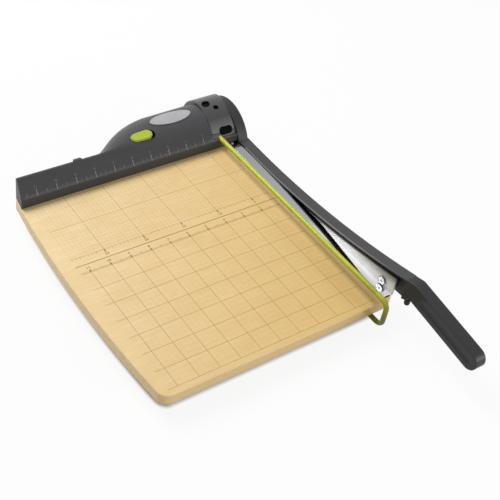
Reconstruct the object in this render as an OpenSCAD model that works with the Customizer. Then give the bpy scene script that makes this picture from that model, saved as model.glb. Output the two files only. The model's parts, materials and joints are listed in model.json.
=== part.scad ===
// Guillotine paper cutter: a bowed maple board with a steel bed knife, a ruler bar that swells into
// the lock and pivot housing, and a curved arm that carries the blade and the handle.
// Bench frame of the modules: X = 0 is the cutting line, Y = 0 the front edge of the board,
// Z = 0 the top of the board. place() then moves everything so that the object stands on Z = 0,
// centred on its own box.

/* [Board] */
// Width from the cutting line to the crown of the bowed left edge
board_w = 309; // [290:1:330]
// Depth from the front edge to the back edge
board_d = 329; // [322:1:345]
// Thickness of the board
board_t = 14; // [13:0.5:16]
// How far the left edge bows out between its corners
edge_bow = 9; // [5:0.5:13]
// Radius of the two front corners
corner_r = 13; // [8:1:18]

/* [Feet] */
// Height of a rubber foot below the board
foot_h = 18; // [17:0.5:24]
// Diameter of a foot at the board
foot_d = 24; // [20:1:26]
// Distance of the left feet from the cutting line
foot_left = 282; // [262:1:286]
// Distance of the right feet from the cutting line
foot_right = 62; // [58:1:80]
// Distance of the front feet from the front edge
foot_front = 30; // [24:1:45]
// Distance of the back feet from the back edge
foot_back = 30; // [24:1:45]

/* [Bed knife] */
// Width of the strip on the top of the board
ledger_w = 14; // [12:0.5:17]
// Thickness of the strip and of its leg
ledger_t = 3; // [2.5:0.1:4]
// Height of the leg on the side of the board
ledger_drop = 13; // [11:0.5:13]
// Setback of its front end from the front edge
ledger_front = 5.5; // [4:0.5:10]
// How far it runs on under the ruler bar
ledger_under = 8; // [6:0.5:10]

/* [Ruler bar] */
// Length of the bar to the left of the cutting line
bar_l = 301.5; // [285:0.5:306]
// Distance of its front face from the back edge of the board
bar_setback = 18; // [17:0.5:22]
// Height of its upright front face
bar_front_h = 12; // [10:0.5:14]
// Angle of the sloped scale face
slope_a = 48.5; // [45:0.5:52]
// Length of the sloped face up to the crown of the bar
bar_slope = 26.5; // [25:0.5:29]
// Radius along the top back edge of the bar
bar_round = 3; // [3:0.1:4]
// Wall thickness of the moulded housing
wall = 2.5; // [2:0.1:2.8]

/* [Lock housing] */
// Where the housing's full section begins, left of the cutting line
dome_full = 105; // [98:1:112]
// Length of the sloped face up to the crown of the full section
dome_slope = 53.8; // [52:0.2:56]
// Radius of the long curve that falls from the crown to the bar
dome_arc_r = 165; // [150:1:185]
// Where the flat scale face ends and the round of the full section begins
dome_flat = 6.5; // [5:0.5:9]
// Where the housing ends and the pivot cover begins, left of the cutting line
dome_end = 40.5; // [37:0.5:44]

/* [Pivot] */
// Distance of the pivot axis behind the board
pivot_back = 25.5; // [24:0.5:28]
// Depth of the pivot axis below the top of the board
pivot_drop = 17; // [15.5:0.5:17.5]
// Radius of the round hub of the arm
hub_r = 49; // [47:0.5:50]
// Radius of the barrel of the pivot cover
cover_r = 51.3; // [50.8:0.1:53]
// Radius of the pivot bolt
bolt_r = 5; // [4:0.25:6]
// Gap between the cover and the hub
hub_gap = 1; // [0.6:0.1:1.5]

/* [Arm] */
// Width of the beam
arm_w = 14.8; // [14:0.2:17]
// Overhang of the beam over the bed knife
arm_lip = 1.4; // [1:0.1:2]
// Radius of the long sweep of the arm
arm_sweep_r = 1170; // [1100:10:1300]
// Height of the lowest point of the beam's top above the board
arm_low = 1.2; // [1.1:0.1:2.5]
// Where that lowest point lies, behind the front edge of the board
arm_low_y = 274.5; // [265:0.5:282]
// Thickness of the beam's walls
arm_wall = 3; // [2.5:0.1:3.5]
// Height of the outer wall's lower edge below the board's top, at the front
web_front = 2; // [1:0.5:6]
// The same at the back
web_back = 15; // [13:0.5:17]
// Opening angle of the arm
open_deg = 50; // [40:1:55]

/* [Handle] */
// Height of the grip
grip_h = 24; // [22:0.5:26]
// Straight length of the grip in front of the bend
grip_l = 99; // [85:1:115]
// Slope of the grip below the horizontal
grip_a = 8.4; // [4:0.2:12]
// Distance of the bend in front of the board
bend_y = 20.5; // [18:0.5:25]

/* [Blade] */
// Thickness of the blade
blade_t = 2.4; // [2:0.1:2.5]
// Distance of its back edge below the top of the beam
blade_inset = 7; // [6:0.2:8]
// Radius of the curved cutting edge
edge_r = 3600; // [3200:50:4200]
// Depth of the lowest point of the cutting edge below the board's top when closed
edge_low = 14; // [12.5:0.5:15]
// Running clearance between blade and bed knife
blade_gap = 0.1; // [0.06:0.01:0.2]

/* [Guard rail] */
// Radius of the rod
rail_r = 3; // [2.5:0.1:3.3]
// Distance of the rod from the cutting line
rail_x = 29; // [27:0.5:32]
// Height of its axis at the ruler bar
rail_back_z = 12.6; // [11.5:0.1:13.5]
// Height of its axis at the front corner
rail_front_z = 22.7; // [18:0.1:26]
// Distance of its upright leg in front of the board
rail_leg_y = 12; // [8:0.5:15]

/* [Lock] */
// Distance of the button's centre from the cutting line
lock_x = 131.6; // [126:0.2:136]
// Place of the button along the sloped face
lock_slope = 33; // [31:0.5:35]
// Length of the button
button_l = 28.6; // [24:0.2:32]
// Width of the button
button_w = 14; // [12:0.2:15]
// Travel of the button towards the arm
lock_travel = 4.5; // [3.5:0.1:4.5]

/* [Hidden] */
$fn = 64;
long_fn = 1800;
eps = 0.01;
fit = 0.1;
run_fit = 0.05;
side_gap = 0.4;

// Scale face of the ruler bar: a point at distance s up the slope, and the slope's normal
bar_y = board_d - bar_setback;
function slope_pt(s) = [bar_y + s * cos(slope_a), bar_front_h + s * sin(slope_a)];
slope_n = [-sin(slope_a), cos(slope_a)];
function mix(a, b, u) = a + (b - a) * u;
function smooth(u) = u * u * (3 - 2 * u);
function polar(r, a) = [r * cos(a), r * sin(a)];

// Sections of the housing along X: how far up the slope it reaches, where its round begins
bar_flat = bar_slope - bar_round;
dome_drop = dome_slope - bar_slope;
dome_run = sqrt(pow(dome_arc_r, 2) - pow(dome_arc_r - dome_drop, 2));
dome_x0 = -dome_full - dome_run;
housing_low = -board_t;
function blend_at(x) = min(1, max(0, (x - dome_x0) / dome_run));
function fall_at(x) = dome_arc_r - sqrt(pow(dome_arc_r, 2) - pow(dome_run * (1 - blend_at(x)), 2));
function crown_at(x) = dome_slope - fall_at(x);
function flat_at(x) = mix(bar_flat, dome_flat, smooth(blend_at(x)));
function round_at(x) = crown_at(x) - flat_at(x);
function centre_at(x) = slope_pt(flat_at(x)) - round_at(x) * slope_n;
function low_at(x) = mix(-1, housing_low, smooth(blend_at(x)));
round_steps = 22;
function round_pts(c, r) =
    [for (i = [0 : round_steps]) c + polar(r, (90 + slope_a) * (1 - i / round_steps))];
function outer_section(x) = concat(
    [[bar_y, 0], [bar_y, bar_front_h]],
    round_pts(centre_at(x), round_at(x)),
    [[centre_at(x)[0] + round_at(x), low_at(x)], [board_d + fit, low_at(x)], [board_d + fit, 0]]);
inner_front_h = bar_front_h - wall * cos(slope_a) + wall * (1 - sin(slope_a)) * tan(slope_a);
function inner_section(x) = concat(
    [[bar_y + wall, low_at(x) - 1], [bar_y + wall, inner_front_h]],
    round_pts(centre_at(x), round_at(x) - wall),
    [[centre_at(x)[0] + round_at(x) - wall, low_at(x) - 1]]);
// Strip that carries the scale on below the pivot cover
strip_slope = 2.8;
strip_round = 1;
strip_c = slope_pt(strip_slope - strip_round) - strip_round * slope_n;
strip_back = bar_y + 9;
strip_section = concat(
    [[bar_y, 0], [bar_y, bar_front_h]],
    round_pts(strip_c, strip_round),
    [[strip_back, bar_front_h - 2], [strip_back, 1], [strip_back, 0]]);

// Pivot, hub and cover
pivot = [board_d + pivot_back, -pivot_drop];
arm_right = arm_w - arm_lip;
cover_x0 = -dome_end + 0.5;
cover_x1 = -4 - hub_gap;
hub_x0 = -4;
bushing_r = bolt_r + 2;
hub_first = 40;
hub_last = 181;
hub_boss_r = bushing_r + 3;
cup_r = 9.8;
cup_wall = 3;
ear_r = 13;
boss_x0 = -2.5;
boss_x1 = arm_right - 7;
bushing_flange = bushing_r + 3;
ear_t = 4;
ear_x1 = cover_x1;
ear_x0 = ear_x1 - ear_t;
floor_z = -board_t - foot_h;
skirt_z = floor_z + 5;
cover_slope = strip_slope + 0.2;

// Lock: its frame sits on the housing's skin at the button
lock_sin = (lock_slope - flat_at(-lock_x)) / round_at(-lock_x);
lock_a = 90 + slope_a - asin(lock_sin);
lock_n = polar(1, lock_a);
lock_pt = centre_at(-lock_x) + round_at(-lock_x) * lock_n;
button_rise = 2.2;
plate_depth = 7.5;
plate_t = 2.5;
bar_w = 8;
bar_t = 5;
bolt_depth = plate_depth + bar_t / 2;
lock_axis = lock_pt - bolt_depth * lock_n;
lock_rel = lock_axis - pivot;
lock_lug_a = atan2(lock_rel[1], lock_rel[0]);
lock_lug_r = norm(lock_rel);
lug_half = asin((bar_w / 2 + 0.9) / lock_lug_r);
lug_span = 12;

// Arm curve: centre of the sweep, and the heights that follow from it
sweep_c = [arm_low_y, arm_low + arm_sweep_r];
function arm_top(y) = sweep_c[1] - sqrt(pow(arm_sweep_r, 2) - pow(sweep_c[0] - y, 2));
neck_y = -7.5;
rib_front = 6.5;
web_y = [neck_y, bar_y - 6];
function web_low(y) = mix(-web_front, -web_back, (y - web_y[0]) / (web_y[1] - web_y[0]));
lip_clear = 0.45;
rib_x0 = blade_gap + blade_t + fit;
rib_depth = 21;
edge_c = [arm_low_y - 2, -edge_low + edge_r];
blade_front = 7;
blade_back = pivot[0] - hub_r - 0.8;
bevel_h = 2.4;

// Handle frame: X along the grip, Y down across it
bend = [-bend_y, arm_top(-bend_y)];
grip_turn = 180 + grip_a;
grip_end = bend + grip_l * polar(1, grip_turn) + grip_h / 2 * polar(1, grip_turn + 90);

// Guard rail: the corner where its upper run meets the leg, and the bend there
rail_drop = board_t + rail_r + 0.2;
rail_tilt = atan2(rail_front_z - rail_back_z, bar_y + rail_leg_y);
rail_bend_r = 9;
rail_tangent = rail_bend_r * tan((90 + rail_tilt) / 2);
rail_run = 58;
rail_in = 6;

// Overall box, which fixes the origin
box_x = [-board_w, arm_right];
box_y = [grip_end[0] - grip_h / 2, pivot[0] + cover_r];
function mid(v) = (v[0] + v[1]) / 2;
module place() {
    translate([-mid(box_x), -mid(box_y), -floor_z])
        children();
}

// Extrudes a Y-Z outline along X
module along_x(x0, x1) {
    translate([x0, 0, 0])
        rotate([90, 0, 90])
            linear_extrude(x1 - x0)
                children();
}

// Revolves a radius-X outline about the pivot axis
module about_pivot() {
    translate([0, pivot[0], pivot[1]])
        rotate([0, 90, 0])
            rotate_extrude($fn = 128)
                children();
}

// Round bar along X through a Y-Z point
module rod_x(p, r, x0, x1) {
    translate([x0, p[0], p[1]])
        rotate([0, 90, 0])
            cylinder(r = r, h = x1 - x0);
}

// Solid lofted through equal rings of Y-Z points at the given X stations
module loft(stations, rings) {
    count = len(rings[0]);
    last = len(rings) - 1;
    points = [for (k = [0 : last], p = rings[k]) [stations[k], p[0], p[1]]];
    sides = [for (k = [0 : last - 1], i = [0 : count - 1])
        let (j = (i + 1) % count, a = k * count, b = a + count)
        each [[a + i, a + j, b + i], [a + j, b + j, b + i]]];
    front = [for (i = [0 : count - 1]) count - 1 - i];
    back = [for (i = [0 : count - 1]) last * count + i];
    polyhedron(points, concat([front], sides, [back]), convexity = 6);
}

// Wedge of the Y-Z plane seen from the pivot
module wedge(a0, a1) {
    steps = 4;
    translate(pivot)
        polygon(concat([[0, 0]], [for (i = [0 : steps]) polar(120, mix(a0, a1, i / steps))]));
}

// Pan-head screw: the head stands below Z = 0, the shank runs up
module pan_screw(head_r, head_h, shank_r, shank_l) {
    translate([0, 0, -head_h])
        cylinder(r = head_r, h = head_h);
    cylinder(r = shank_r, h = shank_l);
    translate([0, 0, shank_l])
        cylinder(r1 = shank_r, r2 = 0.4, h = 1.5);
}

// Countersunk screw: the flat of the head lies at Z = 0, the shank runs up
module flat_screw(head_r, shank_r, shank_l) {
    cylinder(r1 = head_r, r2 = shank_r, h = head_r - shank_r);
    cylinder(r = shank_r, h = shank_l);
}

// Board outline: straight front, back and right sides, bowed left side, round front corners
bow_half = board_d / 2;
bow_r = (pow(bow_half, 2) + pow(edge_bow, 2)) / (2 * edge_bow);
bow_c = bow_r - board_w;
front_left_x = bow_c - sqrt(pow(bow_r - corner_r, 2) - pow(bow_half - corner_r, 2));
module board_outline() {
    difference() {
        intersection() {
            translate([-board_w, 0])
                square([board_w - ledger_t, board_d]);
            translate([bow_c, bow_half])
                circle(r = bow_r, $fn = long_fn);
        }
        difference() {
            translate([-board_w - 1, -1])
                square([front_left_x + board_w + 1, corner_r + 1]);
            translate([front_left_x, corner_r])
                circle(r = corner_r);
        }
        difference() {
            translate([-ledger_t - ledger_front, -1])
                square([ledger_front + 1, ledger_front + 1]);
            translate([-ledger_t - ledger_front, ledger_front])
                circle(r = ledger_front);
        }
    }
}

ledger_len = bar_y + ledger_under - ledger_front;
ledger_screw_y = [for (i = [0 : 3]) ledger_front + ledger_len * (0.1 + 0.8 * i / 3)];
ledger_end_screw = [-10, bar_y + 2.6];
ledger_screw_z = -ledger_t - (ledger_drop - ledger_t) / 2;
ledger_screw_head = 3.2;
ledger_screw_r = 1.75;
ledger_screw_l = 18;
housing_screw_x = [-bar_l + 14, -bar_l + 92, -bar_l + 170, -dome_end - 14];
housing_screw_y = bar_y + 9;
housing_screw_r = 1.75;
housing_boss_r = 4;
foot_spots = [[-foot_left, foot_front], [-foot_right, foot_front],
    [-foot_left, board_d - foot_back], [-foot_right, board_d - foot_back]];
foot_screw_r = 2;
foot_screw_l = 10;
foot_floor = 8;
bracket_screw_spots = [[-30, board_d - 36], [-30, board_d - 10], [-17, board_d - 23]];
bracket_screw_r = 2;
bracket_t = 3;
bracket_front = board_d - 44;
bracket_left = -38;
clip_screw_r = 1.75;
clip_screw_off = 12.5;
clip_at = 26;
rail_clip_l = 18;

module board() {
    color("burlywood")
        place()
            difference() {
                translate([0, 0, -board_t])
                    linear_extrude(board_t)
                        board_outline();
                // Rebate for the bed knife
                translate([-ledger_w - fit, ledger_front, -ledger_t])
                    cube([ledger_w + 1, ledger_len + fit, ledger_t + 1]);
                translate([ledger_end_screw[0], ledger_end_screw[1], -board_t + 2])
                    cylinder(r = ledger_screw_r + run_fit, h = board_t);
                for (y = ledger_screw_y)
                    rod_x([y, ledger_screw_z], ledger_screw_r + run_fit, -ledger_screw_l - 1, 1);
                for (x = housing_screw_x)
                    translate([x, housing_screw_y, -board_t - 1]) {
                        cylinder(r = housing_screw_r + 0.3, h = board_t + 2);
                        cylinder(r = 4.2, h = 5);
                    }
                for (p = foot_spots)
                    translate([p[0], p[1], -board_t - 1])
                        cylinder(r = foot_screw_r + run_fit, h = foot_screw_l + 2);
                for (p = bracket_screw_spots)
                    translate([p[0], p[1], -board_t - 1])
                        cylinder(r = bracket_screw_r + run_fit, h = 11);
                for (side = [-1, 1])
                    translate([-rail_x + side * clip_screw_off, clip_at, -board_t - 1])
                        cylinder(r = clip_screw_r + run_fit, h = 10);
            }
}

module ledger_strip() {
    color("silver")
        place()
            difference() {
                union() {
                    translate([-ledger_w, ledger_front, -ledger_t])
                        cube([ledger_w, ledger_len, ledger_t]);
                    translate([-ledger_t, ledger_front, -ledger_drop])
                        cube([ledger_t, ledger_len, ledger_drop]);
                }
                for (y = ledger_screw_y)
                    translate([eps, y, ledger_screw_z])
                        rotate([0, -90, 0])
                            flat_screw(ledger_screw_head + 0.4, ledger_screw_r + 0.2, 8);
                translate([ledger_end_screw[0], ledger_end_screw[1], -ledger_t - 1])
                    cylinder(r = ledger_screw_r + 0.2, h = ledger_t + 2);
            }
}

module ledger_screws() {
    color("gainsboro")
        place() {
            for (y = ledger_screw_y)
                translate([-0.2, y, ledger_screw_z])
                    rotate([0, -90, 0])
                        flat_screw(ledger_screw_head, ledger_screw_r, ledger_screw_l - 1);
            translate([ledger_end_screw[0], ledger_end_screw[1], 0])
                rotate([180, 0, 0])
                    pan_screw(2.4, 1.6, ledger_screw_r, board_t - 4);
        }
}

// Stadium prism on the lock's frame: X along travel, depth along the skin's normal
module lock_frame(x = -lock_x) {
    translate([x, lock_pt[0], lock_pt[1]])
        rotate([lock_a - 90, 0, 0])
            children();
}
module stadium(l, w, z0, z1) {
    half = (l - w) / 2;
    translate([-half, -w / 2, z0])
        cube([2 * half, w, z1 - z0]);
    for (side = [-1, 1])
        translate([side * half, 0, z0])
            cylinder(d = w, h = z1 - z0);
}

dome_stations = [for (i = [0 : 9]) dome_x0 + dome_run * i / 9];
outer_stations = concat([-bar_l], dome_stations, [-dome_end, -dome_end + 0.3, cover_x1]);
outer_rings = concat(
    [for (x = concat([-bar_l], dome_stations, [-dome_end])) outer_section(x)],
    [strip_section, strip_section]);
inner_stations = concat([-bar_l + wall], dome_stations, [-dome_end - 3.5]);
cover_screw_a = [75, 18];
cover_screw_ring = 44;
cover_screw_r = 1.5;

arch_l = 14;
arch_h = 4;

// Guide window of the lock bolt through the end walls
module bolt_window(gap) {
    lock_frame()
        translate([0, -bar_w / 2 - gap, -plate_depth - bar_t - gap])
            cube([lock_x, bar_w + 2 * gap, bar_t + 2 * gap]);
}

// Straight upper run of the guard rail with a given radius
module rail_line(r) {
    reach = (bar_y + rail_leg_y + rail_in) / cos(rail_tilt) - rail_tangent;
    translate([-rail_x, -rail_leg_y, rail_front_z])
        rotate([-90 - rail_tilt, 0, 0])
            translate([0, 0, rail_tangent])
                cylinder(r = r, h = reach);
}

module ruler_housing() {
    color("dimgray")
        place()
            difference() {
                union() {
                    difference() {
                        loft(outer_stations, outer_rings);
                        loft(inner_stations, [for (x = inner_stations) inner_section(x)]);
                    }
                    for (x = housing_screw_x)
                        translate([x, housing_screw_y, 0])
                            cylinder(r = housing_boss_r, h = bar_front_h + 6);
                }
                for (x = housing_screw_x)
                    translate([x, housing_screw_y, -1])
                        cylinder(r = housing_screw_r + run_fit, h = 13);
                // Opening for the button, off centre by its travel
                lock_frame(-lock_x + lock_travel / 2)
                    stadium(button_l + lock_travel + 2 * side_gap, button_w + 2 * side_gap, -14, 10);
                bolt_window(0.2);
                for (a = cover_screw_a)
                    rod_x(pivot + polar(cover_screw_ring, a), cover_screw_r + run_fit,
                        -dome_end - 4, -dome_end + 1);
                // Socket of the guard rail, and the arch over the bed knife's end screw
                rail_line(rail_r + fit);
                translate([-arch_l - 4, bar_y - 1, -1])
                    cube([arch_l, strip_back - bar_y - 1, arch_h + 1]);
            }
}

module housing_screws() {
    color("gainsboro")
        place()
            for (x = housing_screw_x)
                translate([x, housing_screw_y, -board_t + 4])
                    pan_screw(3.6, 2.2, housing_screw_r, board_t + 4);
}

module pivot_cover() {
    inner_r = cover_r - wall;
    color("dimgray")
        place()
            difference() {
                union() {
                    intersection() {
                        about_pivot()
                            polygon([[inner_r, cover_x0 + wall], [40, cover_x0 + wall], [40, cover_x0],
                                [cover_r - 1, cover_x0], [cover_r, cover_x0 + 1],
                                [cover_r, cover_x1 - 2], [cover_r - 2, cover_x1], [inner_r, cover_x1]]);
                        along_x(cover_x0 - 1, cover_x1 + 1)
                            difference() {
                                translate([bar_y - 60, pivot[1]])
                                    square([260, 120]);
                                translate(slope_pt(cover_slope))
                                    rotate(slope_a)
                                        translate([-200, -200])
                                            square([200, 400]);
                            }
                    }
                    // Skirt behind the board
                    translate([cover_x0, pivot[0] + inner_r, skirt_z])
                        cube([cover_x1 - cover_x0, wall, pivot[1] - skirt_z + eps]);
                    translate([cover_x0, pivot[0] + 8, skirt_z])
                        cube([wall, inner_r - 8 + eps, pivot[1] - skirt_z + 4]);
                }
                for (a = cover_screw_a)
                    rod_x(pivot + polar(cover_screw_ring, a), cover_screw_r + 0.3,
                        cover_x0 - 1, cover_x0 + wall + 1);
                // Round hole, oblong window and slot of the barrel
                translate([-19.5, pivot[0], pivot[1]])
                    rotate([6, 0, 0])
                        cylinder(d = 4.4, h = 80);
                translate([-30, pivot[0], pivot[1]])
                    rotate([-7, 0, 0])
                        rotate([0, 0, 60])
                            stadium(10.5, 7.5, 30, 80);
                translate([-20.5, pivot[0], pivot[1]])
                    rotate([43, 0, 0])
                        stadium(15, 7, 30, 80);
                rail_line(rail_r + 0.3);
                bolt_window(0.6);
                // Room for the strip of the scale face
                along_x(cover_x0 - 1, cover_x1 + 1)
                    translate([bar_y - 60, -60])
                        square([60 + strip_back - bar_y + 0.3, 60 + bar_front_h + 2.2]);
            }
}

module cover_screws() {
    color("gainsboro")
        place()
            for (a = cover_screw_a)
                translate(concat([cover_x0 + wall], pivot + polar(cover_screw_ring, a)))
                    rotate([0, -90, 0])
                        pan_screw(2.8, 1.8, cover_screw_r, wall + 3);
}

// Oval plate bent over the crown of the housing
badge_x = -89.5;
badge_l = 58;
badge_w = 26;
badge_a = 86;
badge_t = 0.8;
badge_gap = 0.25;
module badge_plate() {
    c = centre_at(-dome_full);
    r = round_at(-dome_full);
    color("lightgray")
        place()
            intersection() {
                translate([0, c[0], c[1]])
                    rotate([0, 90, 0])
                        difference() {
                            translate([0, 0, badge_x - badge_l])
                                cylinder(r = r + badge_gap + badge_t, h = 2 * badge_l, $fn = 128);
                            translate([0, 0, badge_x - badge_l - 1])
                                cylinder(r = r + badge_gap, h = 2 * badge_l + 2, $fn = 128);
                        }
                translate([badge_x, c[0], c[1]])
                    rotate([badge_a - 90, 0, 0])
                        linear_extrude(r + 5)
                            polygon([for (i = [0 : 47])
                                [badge_l / 2 * cos(i * 7.5), badge_w / 2 * sin(i * 7.5)]]);
            }
}

module lock_button() {
    color("yellowgreen")
        place()
            lock_frame() {
                difference() {
                    union() {
                        stadium(button_l, button_w, -5, button_rise - 0.9);
                        stadium(button_l - 2.4, button_w - 2.4, -5, button_rise);
                    }
                    for (k = [-1 : 1])
                        translate([k * 4.5 - 0.6, -button_w / 4, button_rise - 0.5])
                            cube([1.2, button_w / 2, 2]);
                }
                stadium(button_l - 6, button_w - 5, -plate_depth, -5 + eps);
            }
}

module lock_bolt() {
    reach = lock_x + hub_x0 - lug_reach - 1;
    color("slategray")
        place()
            lock_frame() {
                translate([-button_l / 2, -button_w / 2 + 1, -plate_depth - plate_t])
                    cube([button_l, button_w - 2, plate_t]);
                translate([0, -bar_w / 2, -plate_depth - bar_t])
                    cube([reach, bar_w, bar_t]);
            }
}

module pivot_bracket() {
    color("darkgray")
        place()
            difference() {
                union() {
                    translate([bracket_left, bracket_front, -board_t - bracket_t])
                        cube([ear_x1 - bracket_left, board_d - bracket_front - 2, bracket_t]);
                    along_x(ear_x0, ear_x1)
                        union() {
                            translate(pivot)
                                circle(r = ear_r);
                            polygon([[bracket_front, -board_t], [board_d + 2, -board_t],
                                pivot + polar(ear_r, 115), pivot + polar(ear_r, 245),
                                [board_d - 8, -board_t - 11], [bracket_front, -board_t - 8]]);
                        }
                }
                rod_x(pivot, bolt_r + fit, ear_x0 - 1, ear_x1 + 1);
                rod_x(pivot + polar(coil_r, coil_start), wire_r + run_fit, ear_x0 - 1, ear_x1 + 1);
                for (p = bracket_screw_spots)
                    translate([p[0], p[1], -board_t - 10])
                        cylinder(r = bracket_screw_r + 0.3, h = 12);
            }
}

module bracket_screws() {
    color("gainsboro")
        place()
            for (p = bracket_screw_spots)
                translate([p[0], p[1], -board_t - bracket_t])
                    pan_screw(4, 2.4, bracket_screw_r, 10);
}

washer_t = 1.5;
nut_t = 8;
module pivot_bolt() {
    head_x = boss_x1 + washer_t + run_fit;
    color("gainsboro")
        place() {
            rod_x(pivot, bolt_r, ear_x0 - washer_t - nut_t - 2, head_x + eps);
            translate([head_x, pivot[0], pivot[1]])
                rotate([0, 90, 0])
                    cylinder(r = 9.2, h = arm_right - head_x - 0.3, $fn = 6);
        }
}

module pivot_nut() {
    color("gainsboro")
        place()
            difference() {
                translate([ear_x0 - washer_t - nut_t, pivot[0], pivot[1]])
                    rotate([0, 90, 0])
                        cylinder(r = 9.2, h = nut_t, $fn = 6);
                rod_x(pivot, bolt_r + run_fit, ear_x0 - washer_t - nut_t - 1, ear_x0);
            }
}

// Flat ring on the pivot bolt
module ring(r, x0, x1) {
    difference() {
        rod_x(pivot, r, x0, x1);
        rod_x(pivot, bolt_r + fit, x0 - 1, x1 + 1);
    }
}

module nut_washer() {
    color("silver")
        place()
            ring(9.2, ear_x0 - washer_t, ear_x0);
}

module head_washer() {
    color("silver")
        place()
            ring(9.2, boss_x1 + run_fit, boss_x1 + washer_t + run_fit);
}

module pivot_bushing() {
    color("darkgoldenrod")
        place()
            difference() {
                union() {
                    rod_x(pivot, bushing_r, boss_x0, boss_x1);
                    rod_x(pivot, bushing_flange, ear_x1 + run_fit, boss_x0);
                }
                rod_x(pivot, bolt_r + run_fit, ear_x1 - 1, boss_x1 + 1);
            }
}

// Lift spring: a coil round the hub's boss, one leg hooked into the bracket, one behind the lug
wire_r = 0.9;
coil_r = hub_boss_r + wire_r + 0.7;
coil_start = 180;
spring_leg_a = lock_lug_a + lug_half + lug_span + asin((wire_r + 0.25) / lock_lug_r);
coil_turns = 2 + (spring_leg_a - coil_start) / 360;
coil_pitch = 2.2;
coil_x0 = boss_x0 + wire_r + 0.4;
coil_count = 72;
coil_sides = 8;
coil_end_x = coil_x0 + coil_pitch * coil_turns;
function coil_a(i) = coil_start + 360 * coil_turns * i / coil_count;
module lift_spring() {
    points = [for (i = [0 : coil_count], k = [0 : coil_sides - 1])
        let (a = coil_a(i), b = 360 * k / coil_sides)
        concat([mix(coil_x0, coil_end_x, i / coil_count) + wire_r * cos(b)],
            pivot + polar(coil_r + wire_r * sin(b), a))];
    sides = [for (i = [0 : coil_count - 1], k = [0 : coil_sides - 1])
        let (n = (k + 1) % coil_sides, a = i * coil_sides, b = a + coil_sides)
        each [[a + k, b + k, a + n], [a + n, b + k, b + n]]];
    front = [for (k = [0 : coil_sides - 1]) k];
    back = [for (k = [0 : coil_sides - 1]) (coil_count + 1) * coil_sides - 1 - k];
    color("slategray")
        place() {
            polyhedron(points, concat([front], sides, [back]), convexity = 10);
            rod_x(pivot + polar(coil_r, coil_start), wire_r, ear_x0 + 0.5, coil_x0);
            translate([coil_end_x, pivot[0], pivot[1]])
                rotate([spring_leg_a - 90, 0, 0])
                    translate([0, 0, coil_r])
                        cylinder(r = wire_r, h = lock_lug_r - coil_r);
        }
}

// Region of the Y-Z plane between the sweep, lowered by d0, and the sweep lowered by d1
module sweep_band(d0, d1, y0, y1) {
    intersection() {
        difference() {
            translate(sweep_c)
                circle(r = arm_sweep_r + d1, $fn = long_fn);
            translate(sweep_c)
                circle(r = arm_sweep_r + d0, $fn = long_fn);
        }
        translate([y0, -120])
            square([y1 - y0, 240]);
    }
}

// Region between the sweep and the straight lower edge of the outer wall
module web_band(y0, y1) {
    difference() {
        polygon([[y0, web_low(y0)], [y1, web_low(y1)], [y1, 120], [y0, 120]]);
        translate(sweep_c)
            circle(r = arm_sweep_r, $fn = long_fn);
    }
}

// Moves a Y-Z outline into the grip's frame
module grip_frame() {
    translate(bend)
        rotate(grip_turn)
            children();
}

blade_screw_y = [25, 140, 250];
function blade_mid(y) = y < 60 ? 6 : (arm_top(y) - blade_inset - edge_low + 2) / 2;
blade_screw_r = 2;
tang_x0 = 3;
tang_x1 = 9;
tang_l = 70;
tang_y = [6, 19];
grip_screw_at = [18, 56];
grip_screw_r = 1.75;

module hub_body() {
    shoulder = 4;
    rim = hub_r - arm_wall;
    difference() {
        about_pivot() {
            translate([rim, hub_x0])
                square([arm_wall, arm_right - shoulder - hub_x0]);
            intersection() {
                translate([hub_r - shoulder, arm_right - shoulder])
                    circle(r = shoulder);
                translate([hub_r - shoulder, arm_right - shoulder])
                    square([shoulder, shoulder]);
            }
            translate([cup_r + cup_wall - eps, arm_right - shoulder])
                square([hub_r - shoulder - cup_r - cup_wall + 2 * eps, shoulder]);
            translate([bushing_r, boss_x0])
                square([hub_boss_r - bushing_r, boss_x1 - boss_x0]);
            translate([bushing_r, boss_x1 - 2])
                square([cup_r + cup_wall - bushing_r, 2]);
            translate([cup_r, boss_x1 - eps])
                square([cup_wall, arm_right - boss_x1 + eps]);
        }
        along_x(hub_x0 - 1, arm_right + 1)
            difference() {
                translate(pivot)
                    circle(r = hub_r + 5);
                wedge(hub_first, hub_last);
                translate(pivot)
                    circle(r = cup_r + cup_wall);
            }
        // Its inner half stays above the bed knife
        along_x(hub_x0 - 1, blade_gap + 0.2)
            translate([pivot[0] - hub_r - 5, -60])
                square([30, 60 + lip_clear]);
    }
}

// Steel lug under the hub's rim that the lock bolt stands in front of
lug_reach = 5.5;
module lock_lug() {
    color("slategray")
        place()
            along_x(hub_x0 - lug_reach, arm_right - 4 - fit)
                intersection() {
                    difference() {
                        translate(pivot)
                            circle(r = hub_r - arm_wall - fit);
                        translate(pivot)
                            circle(r = lock_lug_r - 5);
                    }
                    wedge(lock_lug_a + lug_half, lock_lug_a + lug_half + lug_span);
                }
}

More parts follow.
